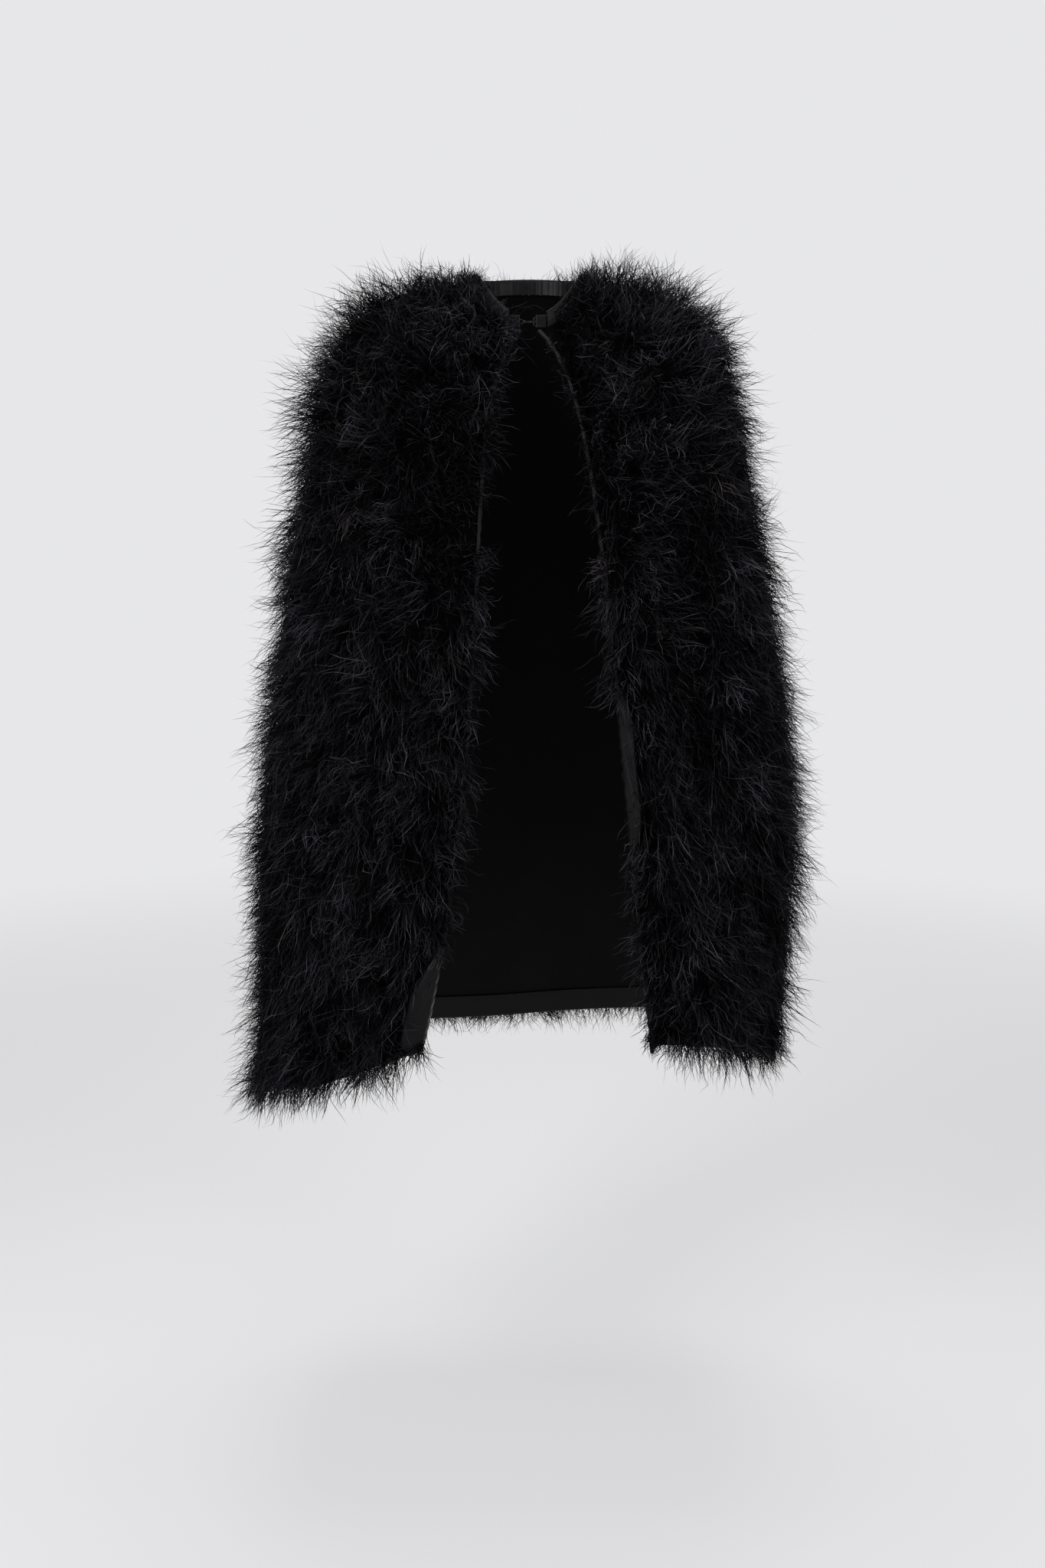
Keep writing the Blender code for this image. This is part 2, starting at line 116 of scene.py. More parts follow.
NECK_PLACE = 0.012  # place along the drop where the strips begin
PANEL_PLACE = 0.26  # and where the front panels begin
MAIN_STRIPS = 22
PANEL_STRIPS = 3
SIDE_SEAM_STRIPS = 5
SHELL = (0.0, 0.0008)  # each cloth's heights over the shell's inner face
LINING = (-0.0012, -0.0006)
FACING_WIDTH = 0.028
BINDING_TOP = 0.972  # the place of the hem binding's upper edge

RING_SLOPES = np.gradient(RINGS[:, 1:], RINGS[:, 0], axis=0)


def ring(place):
    """The ring's six measures at each place, on a smooth curve through RINGS."""
    at = RINGS[:, 0]
    i = np.clip(np.searchsorted(at, place) - 1, 0, len(at) - 2)
    step = at[i + 1] - at[i]
    f = ((place - at[i]) / step)[..., None]
    step = step[..., None]
    return (
        (2 * f**3 - 3 * f**2 + 1) * RINGS[i, 1:]
        + (f**3 - 2 * f**2 + f) * step * RING_SLOPES[i]
        + (3 * f**2 - 2 * f**3) * RINGS[i + 1, 1:]
        + (f**3 - f**2) * step * RING_SLOPES[i + 1]
    )


def cloth_point(angle, place):
    """The shell's inner face. The angle runs from 0 in front to +pi behind over the wearer's left."""
    angle, place = np.broadcast_arrays(np.asarray(angle, float), np.asarray(place, float))
    half, front, back, z_front, z_side, z_back = np.moveaxis(ring(place), -1, 0)
    power = NECK_ROUNDNESS + (HEM_ROUNDNESS - NECK_ROUNDNESS) * np.minimum(1, place / SQUARE_BY)
    sine, cosine = np.sin(angle), np.cos(angle)
    x = half * np.sign(sine) * np.abs(sine) ** (2 / power)
    x = x * (1 - SIDE_STRETCH * np.sign(sine) * np.minimum(1, 4 * place))
    tuck = HEM_TUCK * (np.maximum(0, place - TUCK_TOP) / (1 - TUCK_TOP)) ** 1.5 * sine**2
    x = np.where(sine > 0, x * (1 - tuck), x)
    y = -np.where(cosine > 0, front, back) * np.sign(cosine) * np.abs(cosine) ** (2 / power)
    folds = 1 + WAVE / half * place**2 * sine**2 * np.sin(WAVE_COUNT * angle + WAVE_PHASE)
    z = z_side + (np.where(cosine > 0, z_front, z_back) - z_side) * cosine**2
    level = np.where(cosine > 0, 0, LEVEL_BEHIND * cosine**2)
    z = z + SIDE_DROP * (1 - level) * place**3 * np.tanh(x / DROP_SPAN)
    z = z + np.where((sine < 0) & (cosine > 0), CORNER_LIFT * place**6 * cosine**8, 0)
    return np.stack([x * folds + NECK_SHIFT * (1 - place) ** 2, y * folds, z], axis=-1)


def unit(vectors):
    return vectors / np.maximum(np.linalg.norm(vectors, axis=-1, keepdims=True), 1e-12)


def directions(angle, place):
    """Unit vectors along the cloth: round it, down it, and outwards from it."""
    step = 1e-4
    low, high = np.maximum(place - step, 0), np.minimum(place + step, 1)
    around = cloth_point(angle + step, place) - cloth_point(angle - step, place)
    down = cloth_point(angle, high) - cloth_point(angle, low)
    out = unit(np.cross(down, around))
    return unit(around), unit(np.cross(around, out)), out


def angle_where(side, place, x_of_z):
    """The angle at which each ring crosses a line that the front view shows as x against z."""
    low, high = np.zeros_like(place), np.full_like(place, math.pi / 2)
    for _ in range(40):
        middle = (low + high) / 2
        point = cloth_point(side * middle, place)
        inside = side * point[..., 0] < x_of_z(point[..., 2])
        low, high = np.where(inside, middle, low), np.where(inside, high, middle)
    return side * low


def edge_x(side, z):
    at_hook, (near, near_over), (far, far_over), flare = LEFT_EDGE if side > 0 else RIGHT_EDGE
    drop = np.maximum(0.0, EDGE_TOP - z)
    x = at_hook + near * (1 - np.exp(-drop / near_over)) + far * (1 - np.exp(-drop / far_over))
    return x + flare * (drop / EDGE_LENGTH) ** 3


def fold_x(z):
    (top_x, _, top_z), (hem_x, _, hem_z) = FOLD_TOP, FOLD_HEM
    return top_x + (hem_x - top_x) * (top_z - z) / (top_z - hem_z)


# Angles of the front edges, the fold lines and the main cloth, on a grid of places.
PLACES = np.linspace(0, 1, 201)
SHARES = np.linspace(0, 1, 353)


def front_lines(side):
    edge = angle_where(side, PLACES, lambda z: edge_x(side, z))
    fold = angle_where(side, PLACES, fold_x)
    return edge, fold, np.where(np.abs(edge) > np.abs(fold), edge, fold)


LINES = {side: front_lines(side) for side in (1, -1)}


def main_table():
    """Angles at even shares of the way round the back, from the left fold line to the right one."""
    table = []
    for row, place in enumerate(PLACES):
        angles = np.linspace(LINES[1][2][row], LINES[-1][2][row] + 2 * math.pi, 481)
        lengths = np.linalg.norm(np.diff(cloth_point(angles, np.full(481, place)), axis=0), axis=1)
        shares = np.concatenate([[0], np.cumsum(lengths)]) / lengths.sum()
        table.append(np.interp(SHARES, shares, angles))
    return np.array(table)


MAIN_ANGLES = main_table()


def main_angle(share, place):
    row = np.clip(np.asarray(place) * (len(PLACES) - 1), 0, len(PLACES) - 1.001)
    column = np.clip(np.asarray(share) * (len(SHARES) - 1), 0, len(SHARES) - 1.001)
    r, c = row.astype(int), column.astype(int)
    f, g = row - r, column - c
    top = MAIN_ANGLES[r, c] * (1 - g) + MAIN_ANGLES[r, c + 1] * g
    low = MAIN_ANGLES[r + 1, c] * (1 - g) + MAIN_ANGLES[r + 1, c + 1] * g
    return top * (1 - f) + low * f


def edge_angle(side, place):
    return np.interp(place, PLACES, LINES[side][0])


def panel_angle(side, share, place):
    """The angle at a share of the way across a front panel, from its edge to its fold line."""
    edge, fold = edge_angle(side, place), np.interp(place, PLACES, LINES[side][1])
    return edge + (fold - edge) * share


def layer_point(angle, place, height):
    """A point at this height over the shell's inner face."""
    out = directions(angle, place)[2]
    return cloth_point(angle, place) + out * np.asarray(height)[..., None]


# ---- Smooth noise, the same each run ----


def smooth_noise(seed, scale, count=9):
    """A function from points to values of about -1 to 1, whose lumps are about scale metres across."""
    rng = np.random.default_rng(seed)
    waves = unit(rng.normal(size=(count, 3))) * rng.uniform(0.6, 1.5, (count, 1)) * math.pi / scale
    phases = rng.uniform(0, 2 * math.pi, count)

    def value(points):
        return np.sin(points @ waves.T + phases).sum(-1) / math.sqrt(count)

    return value


# ---- Materials ----


def node_material(name, roughness, sheen=0.0, gloss=0.5, metallic=0.0):
    made = bpy.data.materials.new(name)
    made.use_nodes = True
    shader = made.node_tree.nodes["Principled BSDF"]
    sockets = {"Roughness": roughness, "Metallic": metallic, "Specular IOR Level": gloss}
    sockets |= {"Sheen Weight": sheen, "Sheen Roughness": 0.4}
    for socket, value in sockets.items():
        shader.inputs[socket].default_value = value
    return made, made.node_tree, shader


def add_node(tree, kind, inputs, **settings):
    """A new shader node. Each input is given another node's output or a value."""
    node = tree.nodes.new("ShaderNode" + kind)
    for name, value in settings.items():
        setattr(node, name, value)
    for name, value in inputs.items():
        if isinstance(value, bpy.types.NodeSocket):
            tree.links.new(value, node.inputs[name])
        else:
            node.inputs[name].default_value = value
    return node


def object_place(tree):
    return add_node(tree, "TexCoord", {}).outputs["Object"]


def noise_node(tree, scale, detail):
    inputs = {"Scale": scale, "Detail": detail, "Roughness": 0.6, "Vector": object_place(tree)}
    return add_node(tree, "TexNoise", inputs).outputs["Fac"]


def ramp(tree, value, stops):
    node = add_node(tree, "ValToRGB", {"Fac": value})
    elements = node.color_ramp.elements
    while len(elements) < len(stops):
        elements.new(0.5)
    for element, (position, colour) in zip(elements, stops):
        element.position = position
        element.color = (*colour, 1)
    return node.outputs["Color"]


def spread(tree, value, low, high):
    return add_node(tree, "MapRange", {"Value": value, "To Min": low, "To Max": high}).outputs["Result"]


def bump(tree, shader, height, strength, distance):
    node = add_node(tree, "Bump", {"Height": height, "Strength": strength, "Distance": distance})
    tree.links.new(node.outputs["Normal"], shader.inputs["Normal"])


def attribute_value(tree, name):
    return add_node(tree, "Attribute", {}, attribute_name=name).outputs["Fac"]


def multiplied(tree, one, other):
    inputs = {"Factor": 1.0, "A": one, "B": other}
    return add_node(tree, "Mix", inputs, data_type="RGBA", blend_type="MULTIPLY").outputs["Result"]


BARB_TONES = (
    (0.0170, 0.0162, 0.0198),
    (0.0240, 0.0228, 0.0280),
    (0.0325, 0.0310, 0.0378),
    (0.0385, 0.0325, 0.0335),
)
# A barb's colour as a share of its tone, as painted light: painted shade at the root to a painted highlight
# at the tip, and a painted brightness from barb to barb, dark for most and bright for a few.
PAINTED_LIGHT_ALONG = ((0.0, 0.05), (0.35, 0.22), (0.7, 0.85), (1.0, 1.5))
PAINTED_LIGHT_OF_BARB = ((0.0, 0.13), (0.4, 0.72), (0.7, 1.9), (1.0, 4.6))


def barb_materials():
    """Marabou barbs with painted shade at each root, a painted highlight towards each tip, and a painted
    brightness that differs from barb to barb.
    """
    made = []
    for number, colour in enumerate(BARB_TONES):
        barb, tree, shader = node_material(f"marabou_{number + 1}", 0.62, gloss=0.03)
        tone_with_painted_light = [(at, tuple(c * painted_light for c in colour)) for at, painted_light in PAINTED_LIGHT_ALONG]
        painted_lights = [(at, (painted_light,) * 3) for at, painted_light in PAINTED_LIGHT_OF_BARB]
        # Painted shade at the root and a painted highlight at the tip, by the share along the barb, times
        # each barb's own painted brightness.
        along = ramp(tree, attribute_value(tree, "along"), tone_with_painted_light)
        own = ramp(tree, attribute_value(tree, "painted_light"), painted_lights)
        tree.links.new(multiplied(tree, along, own), shader.inputs["Base Color"])
        made.append(barb)
    return made


def cloth_material(name, colour, roughness, gloss, weave_scale, weave_depth):
    """Woven cloth: fine threads both ways, and a soft variation of colour and gloss."""
    cloth, tree, shader = node_material(name, roughness, gloss=gloss)
    inputs = {"Scale": weave_scale, "Distortion": 0.6, "Vector": object_place(tree)}
    waves = [add_node(tree, "TexWave", inputs, bands_direction=way).outputs["Fac"] for way in "XZ"]
    threads = add_node(tree, "Math", {0: waves[0], 1: waves[1]}, operation="MULTIPLY")
    drift = noise_node(tree, 18.0, 4.0)
    darker = tuple(c * 0.75 for c in colour)
    lighter = tuple(c * 1.3 for c in colour)
    tree.links.new(ramp(tree, drift, ((0.3, darker), (0.7, lighter))), shader.inputs["Base Color"])
    tree.links.new(spread(tree, drift, roughness - 0.06, roughness + 0.08), shader.inputs["Roughness"])
    bump(tree, shader, threads.outputs[0], 0.35, weave_depth)
    return cloth


def wire_material():
    """Blackened steel, worn in places."""
    wire, tree, shader = node_material("blackened_wire", 0.35, metallic=1.0)
    worn = noise_node(tree, 900.0, 3.0)
    colours = ((0.45, (0.020, 0.018, 0.018)), (0.62, (0.060, 0.056, 0.054)))
    tree.links.new(ramp(tree, worn, colours), shader.inputs["Base Color"])
    tree.links.new(spread(tree, worn, 0.28, 0.5), shader.inputs["Roughness"])
    return wire


def thread_material():
    """Twisted sewing thread."""
    thread, tree, shader = node_material("thread", 0.7, sheen=0.3)
    inputs = {"Scale": 900.0, "Vector": object_place(tree)}
    twist = add_node(tree, "TexWave", inputs, bands_direction="DIAGONAL").outputs["Fac"]
    colours = ((0.2, (0.008, 0.008, 0.009)), (0.8, (0.03, 0.03, 0.033)))
    tree.links.new(ramp(tree, twist, colours), shader.inputs["Base Color"])
    bump(tree, shader, twist, 0.4, 0.0001)
    return thread


BARBS = barb_materials()
# The shell is black cloth, and its colour is set nearly pure black, darker than the lining: partly its own
# colour and partly painted shade for the hollows of the pile.
SHELL_CLOTH = cloth_material("shell_cloth", (0.0010, 0.0010, 0.0012), 0.9, 0.02, 300.0, 0.00008)
LINING_SATIN = cloth_material("lining_satin", (0.0042, 0.0040, 0.0044), 0.50, 0.05, 420.0, 0.00003)
TRIM_SATIN = cloth_material("trim_satin", (0.0056, 0.0054, 0.0062), 0.42, 0.10, 420.0, 0.00003)
WIRE_METAL = wire_material()
THREAD = thread_material()


# ---- Meshes ----


def mesh_object(name, points, triangles, materials, material_index=None):
    mesh = bpy.data.meshes.new(name)
    mesh.vertices.add(len(points))
    mesh.vertices.foreach_set("co", np.ascontiguousarray(points, np.float32).ravel())
    mesh.loops.add(triangles.size)
    mesh.loops.foreach_set("vertex_index", np.ascontiguousarray(triangles, np.int32).ravel())
    mesh.polygons.add(len(triangles))
    mesh.polygons.foreach_set("loop_start", np.arange(0, triangles.size, 3, dtype=np.int32))
    for made in materials:
        mesh.materials.append(made)
    if material_index is not None:
        mesh.polygons.foreach_set("material_index", np.ascontiguousarray(material_index, np.int32))
    mesh.update(calc_edges=True)
    mesh.validate()
    mesh.shade_smooth()
    obj = bpy.data.objects.new(name, mesh)
    bpy.context.scene.collection.objects.link(obj)
    return obj


def add_attribute(obj, name, values):
    attribute = obj.data.attributes.new(name, "FLOAT", "POINT")
    attribute.data.foreach_set("value", np.ascontiguousarray(values, np.float32))


def sheet_object(name, front, back, made):
    """A closed sheet between two grids of points, each rows by columns by 3."""
    rows, columns = front.shape[:2]
    number = np.arange(rows * columns).reshape(rows, columns)
    other = number + rows * columns
    a, b, c, d = number[:-1, :-1], number[:-1, 1:], number[1:, 1:], number[1:, :-1]
    e, f, g, h = other[:-1, :-1], other[:-1, 1:], other[1:, 1:], other[1:, :-1]
    quads = [(a, b, c, d), (h, g, f, e)]
    for line, far in (
        (number[0], other[0]),
        (number[-1][::-1], other[-1][::-1]),
        (number[::-1, 0], other[::-1, 0]),
        (number[:, -1], other[:, -1]),
    ):
        quads.append((line[:-1], far[:-1], far[1:], line[1:]))
    triangles = []
    for p, q, r, s in quads:
        triangles.append(np.stack([p, q, r], -1).reshape(-1, 3))
        triangles.append(np.stack([p, r, s], -1).reshape(-1, 3))
    points = np.concatenate([front.reshape(-1, 3), back.reshape(-1, 3)])
    obj = mesh_object(name, points, np.concatenate(triangles), [made])
    obj.data.set_sharp_from_angle(angle=math.radians(60))
    return obj


# ---- Where the satin facing is turned out over a front edge ----

TURNED_EDGE = 0.0025
# (widest, where it begins, is widest, ends being widest, and ends), as heights, on each side
LEFT_FLAP = (0.013, -0.47, -0.52, -0.63, -0.70)
RIGHT_FLAP = (0.030, -0.765, -0.850, -1.00, -1.10)


def flap_width(side, z):
    width = np.zeros_like(z)
    for one, (widest, *heights) in ((1, LEFT_FLAP), (-1, RIGHT_FLAP)):
        bulge = np.interp(-z, [-height for height in heights], [0, 1, 1, 0])
        width = np.where(side == one, widest * bulge * bulge * (3 - 2 * bulge), width)
    return TURNED_EDGE + width


# ---- Feathers ----

BARBS_PER_M2 = 70_000
BARBS_PER_TUFT = 14
GOLDEN = 0.6180339887  # this step spreads the tufts evenly across a strip
FRINGES = ((0.972, 0.999), (0.004, 0.018))  # extra tufts stand here, at the hem and at the neckline
FRINGE_STEP = 0.0036  # from one to the next
BARB_RADIUS = 0.00046
STATIONS = np.array([0.0, 0.27, 0.52, 0.77])  # each barb has a ring of three points here, and one at its tip
SHARES_OF_BARB = np.append(STATIONS, 1.0)
TURNS = np.radians([0, 120, 240])
TAPER = (0.55, 1.5)  # a needle loses this share of its radius by its last ring, by this power
DOWN = np.array([0.0, 0.0, -1.0])
EDGE_REACH = 0.018  # how far from a front edge the barbs curl towards the gap
EDGE_ROW = 0.013  # within this of a front edge the feathers stand twice as close
EDGE_SHIFT = 0.006  # most that a second tuft there stands above or below the first, as a place
FLAP_FOOT = 0.985  # below this place feathers grow under the turned facing too
# None grow behind the left end of the neckband: above this z, in front of this y, and this near to x.
BARE_Z, BARE_Y, BARE_X, BARE_REACH = -0.085, -0.05, 0.008, 0.019
# Length at the neckline, what is added below it, and what is added where the pile is wildest.
BASE_LENGTH, BODY_LENGTH, WILD_LENGTH = 0.033, 0.028, 0.010
WISPS = 0.12  # share of the barbs that are long, thin and free of their tuft
FEATHER_ROOM = np.array([0.029, 0.021, 0.036])  # how far barbs may stand out of the frame's box
HOOK_PLACE = np.array([-0.005, -0.085, -0.070])
HOOK_REACH = 0.045  # nearer to the hook than this, the barbs are shorter

swirl_noise = smooth_noise(11, 0.05)
lift_noise = smooth_noise(12, 0.06)
depth_noise = smooth_noise(13, 0.07)
small_noise = smooth_noise(14, 0.022)
groove_noise = smooth_noise(15, 0.05)


def bend(roots, starts, ends, lengths):
    """Points along each barb, which turns from its start direction to its end direction."""
    bend_start = (SHARES_OF_BARB - SHARES_OF_BARB**2 / 2)[:, None]
    bend_end = (SHARES_OF_BARB**2 / 2)[:, None]
    turned = starts[:, None] * bend_start + ends[:, None] * bend_end
    return roots[:, None] + lengths[:, None, None] * turned


def needles(path, radii, spins):
    """Closed three-sided needles along paths of equally many points: points, triangles, and faces each."""
    count, stops = path.shape[:2]
    rings = stops - 1
    tangents = unit(np.gradient(path, axis=1))
    across = unit(np.cross(tangents, spins[:, None]))
    beside = np.cross(tangents, across)
    sizes = (radii[:, None] * (1 - TAPER[0] * (np.arange(rings) / rings) ** TAPER[1]))[..., None, None]
    cosines, sines = np.cos(TURNS)[:, None], np.sin(TURNS)[:, None]
    turn = across[:, :-1, None] * cosines + beside[:, :-1, None] * sines
    round_points = (path[:, :-1, None] + turn * sizes).reshape(count, 3 * rings, 3)
    points = np.concatenate([round_points, path[:, -1:]], axis=1)
    faces = [(0, 2, 1)]
    for first in range(0, 3 * (rings - 1), 3):
        for k in range(3):
            a, b = first + k, first + (k + 1) % 3
            faces += [(a, b, b + 3), (a, b + 3, a + 3)]
    end, tip = 3 * (rings - 1), 3 * rings
    faces += [(end, end + 1, tip), (end + 1, end + 2, tip), (end + 2, end, tip)]
    triangles = (np.arange(count)[:, None, None] * (tip + 1) + np.array(faces)).reshape(-1, 3)
    return points.reshape(-1, 3), triangles, len(faces)


def strip_angle(strip, across, place):
    """The angle at a share of the way across a strip, which is ("main", number) or (side, number)."""
    kind, number = strip
    if kind == "main":
        return main_angle((number + across) / MAIN_STRIPS, place)
    return panel_angle(kind, (number + across) / PANEL_STRIPS, place)


def strip_width(strip, place):
    near, far = (cloth_point(strip_angle(strip, across, place), place) for across in (0.0, 1.0))
    return np.linalg.norm(far - near, axis=-1)


def tuft_places(strip, rng):
    """Even places for the tufts of a strip, by its area, and extra ones along its ends: (across, place)."""
    top = NECK_PLACE if strip[0] == "main" else PANEL_PLACE
    grid = np.linspace(top, 1.0, 160)
    middle = cloth_point(strip_angle(strip, 0.5, grid), grid)
    width = strip_width(strip, grid)
    run = np.linalg.norm(np.diff(middle, axis=0), axis=1)
    area = np.concatenate([[0], np.cumsum(run * (width[1:] + width[:-1]) / 2)])
    count = int(round(area[-1] * BARBS_PER_M2 / BARBS_PER_TUFT))
    along = (np.arange(count) + rng.uniform(0.1, 0.9, count)) / count
    place = np.interp(along * area[-1], area, grid)
    across = (np.arange(count) * GOLDEN + rng.uniform(0, 0.12, count)) % 1.0
    for low, high in FRINGES:
        if low < top and strip[0] != "main":
            continue
        extra = max(2, int(strip_width(strip, np.array([low]))[0] / FRINGE_STEP))
        across = np.append(across, (np.arange(extra) + rng.uniform(0.1, 0.9, extra)) / extra)
        place = np.append(place, rng.uniform(low, high, extra))
    return across, place


def tuft_spots(strip, across, place):
    """Each tuft's angle and root, its distance from the nearest front edge, and that edge's side."""
    angle = strip_angle(strip, across, place)
    base = layer_point(angle, place, np.full(len(place), SHELL[1]))
    edges = [cloth_point(edge_angle(side, place), place) for side in (1, -1)]
    left, right = (np.linalg.norm(base - edge, axis=1) for edge in edges)
    return angle, base, np.minimum(left, right), np.where(right < left, -1, 1)


def kept_inside(path):
    """Barbs that would leave the feathers' space, drawn in along themselves."""
    roots = path[:, :1]
    low, high = np.array(CAD_BOX[0]) - FEATHER_ROOM, np.array(CAD_BOX[1]) + FEATHER_ROOM
    tips = path - roots
    room = np.where(tips > 0, high - roots, low - roots)
    moved = np.abs(tips) > 1e-6
    share = np.where(moved, room / np.where(moved, tips, 1), np.inf)
    return roots + tips * np.clip(share.min(axis=(1, 2)), 0, 1)[:, None, None]


def grown_tufts(strip, rng):
    """A strip's tufts: where each stands, the nearest front edge, and the cloth's directions there."""
    across, place = tuft_places(strip, rng)
    distance = tuft_spots(strip, across, place)[2]
    doubled = distance < EDGE_ROW
    shift = rng.uniform(-EDGE_SHIFT, EDGE_SHIFT, doubled.sum())
    across = np.append(across, across[doubled])
    place = np.append(place, np.clip(place[doubled] + shift, NECK_PLACE, 1))
    angle, base, distance, side = tuft_spots(strip, across, place)
    x, y, z = base.T
    under_flap = (distance < flap_width(side, z) - 0.002) & (place < FLAP_FOOT)
    under_tab = (z > BARE_Z) & (y < BARE_Y) & (np.abs(x - BARE_X) < BARE_REACH)
    kept = ~(under_flap | under_tab)
    around, down, out = directions(angle[kept], place[kept])
    spots = {"across": across, "place": place, "base": base, "distance": distance, "side": side}
    spots = {name: values[kept] for name, values in spots.items()}
    return SimpleNamespace(**spots, around=around, down=down, out=out)


def pile_shape(strip, tufts):
    """How the pile lies at each tuft, as shares from 0 to about 1."""
    place, base = tufts.place, tufts.base
    # Each strip stands highest along its middle and leaves a valley beside the next.
    broad = np.clip((strip_width(strip, place) - 0.016) / 0.022, 0, 1)
    off_middle = tufts.across - 0.5 + 0.12 * groove_noise(base * [0.4, 0.4, 1])
    at_rim = np.clip((0.07 - place) / 0.06, 0, 1)[:, None]
    return SimpleNamespace(
        broad=broad,
        off_middle=off_middle,
        valley=np.clip((np.abs(off_middle) - 0.26) / 0.2, 0, 1) * broad,
        grooves=np.clip(groove_noise(base * [1, 1, 0.22]) - 0.35, 0, 1.4),
        pockets=np.clip(small_noise(base) - 0.5, 0, 1.5),
        # Most wild on the shoulders, and combed by its own weight lower down.
        wild=np.clip(1.2 - place / 0.45, 0.25, 1.0)[:, None],
        to_gap=np.exp(-((tufts.distance / EDGE_REACH) ** 2))[:, None],
        at_hem=np.clip((place - 0.95) / 0.05, 0, 1)[:, None],
        at_neck=at_rim * np.clip((base[:, 2:] + 0.075) / 0.03, 0, 1),
    )


def tuft_leans(tufts, pile, rng):
    """The direction in which each tuft leaves the cloth."""
    base, around, down, out = tufts.base, tufts.around, tufts.down, tufts.out
    column = (len(base), 1)
    wild = pile.wild
    swirl = swirl_noise(base)[:, None] * 1.3 + rng.normal(0, 0.55, column)
    lift = 0.62 + 0.28 * lift_noise(base)[:, None] + rng.normal(0, 0.18, column) + 0.35 * wild
    sway = swirl * (0.35 + 0.65 * wild) * 0.8
    fall = 0.92 - 0.82 * wild + rng.normal(0, 0.22, column)
    lean = out * lift + down * fall + around * sway
    lean = lean + around * (np.clip(pile.off_middle, -0.5, 0.5) * 0.8 * pile.broad)[:, None]
    # Towards the gap beside the front edges, down past the hem, and up round the neck.
    lean = lean - around * tufts.side[:, None] * pile.to_gap * rng.uniform(0.5, 2.0, column)
    lean = lean + down * pile.at_hem * rng.uniform(0.0, 0.9, column)
    lean = lean + around * pile.at_hem * rng.normal(0, 0.3, column)
    lean = lean - DOWN * pile.at_neck * 0.9 - down * pile.at_neck * rng.uniform(-0.35, 0.15, column)
    return unit(lean)


def tuft_lengths(tufts, pile, rng):
    """Each tuft's length: longest on hills, shorter in hollows, at the gap and at the hook."""
    hollow = 1.09 + 0.13 * depth_noise(tufts.base)
    hollow = hollow - 0.20 * pile.grooves - 0.28 * pile.pockets - 0.24 * pile.valley
    neck = np.clip(tufts.place / 0.09, 0, 1)
    length = BASE_LENGTH + BODY_LENGTH * neck + WILD_LENGTH * pile.wild[:, 0] * neck
    length = length * np.clip(hollow, 0.5, 1.35)
    length = length * (1 - 0.36 * pile.to_gap[:, 0]) * rng.uniform(0.82, 1.12, len(length))
    from_hook = np.linalg.norm(tufts.base - HOOK_PLACE, axis=1)
    return length * np.clip(from_hook / HOOK_REACH, 0.38, 1)


def barb_paths(tufts, pile, lean, length, pick, quill, wisp, rng):
    """Points along every barb. pick is each barb's tuft, and quill and wisp say what kind it is."""
    count = len(pick)
    base, out = tufts.base, tufts.out
    curl = rng.normal(0, 0.5, (len(base), 3))
    droop = (0.25 + 0.45 * (1 - pile.wild)) * (1 - pile.at_neck) * rng.uniform(0.6, 1.4, (len(base), 1))
    tuft_end = unit(lean * 0.7 + DOWN * droop + curl)
    fan = rng.normal(size=(count, 3)) * 0.5
    fan[quill] *= 0.3
    starts = unit(lean[pick] + fan)
    own_curl = rng.normal(size=(count, 3)) * np.where(wisp, 1.2, 0.75)[:, None]
    ends = unit(tuft_end[pick] + own_curl)
    jitter = rng.normal(0, 0.004, (count, 2))
    roots = base[pick] + tufts.around[pick] * jitter[:, :1] + tufts.down[pick] * jitter[:, 1:]
    reach = rng.uniform(0.45, 1.08, count)
    reach[wisp] = rng.uniform(0.85, 1.18, wisp.sum())
    lengths = length[pick] * reach
    path = bend(roots, starts, ends, lengths)
    # The barbs of a tuft cling together towards their tips, some tufts more than others.
    axis = bend(base[pick], lean[pick], tuft_end[pick], lengths)
    cling = np.clip(rng.normal(0.34, 0.2, len(base)), 0, 0.75)[pick]
    cling = np.where(wisp, 0.05, cling)[:, None, None]
    path += (axis - path) * cling * (SHARES_OF_BARB**1.2)[:, None]
    # Each has a soft wave of its own, and the quills are straighter.
    stops = len(STATIONS)
    wave = rng.normal(0, 1, (count, 1, 3)) * np.sin(SHARES_OF_BARB * 5.5)[:, None] * 0.0016
    kinks = rng.normal(0, 1, (count, stops, 3)) * np.linspace(0.0006, 0.0020, stops)[:, None]
    limp = np.where(quill, 0.3, 1)[:, None, None]
    path += wave * limp
    path[:, 1:] += kinks * limp
    # No barb goes through the cloth, or out of the space that the feathers may fill.
    height = np.einsum("bkx,bx->bk", path - roots[:, None], out[pick])
    least = (0.0012 + 0.010 * SHARES_OF_BARB) * (np.arange(len(SHARES_OF_BARB)) > 0)
    past_edge = np.clip(1 - tufts.distance[pick] / 0.008, 0, 1)[:, None]
    path += out[pick][:, None] * np.maximum(0, least * (1 - 0.6 * past_edge) - height)[..., None]
    return kept_inside(path)


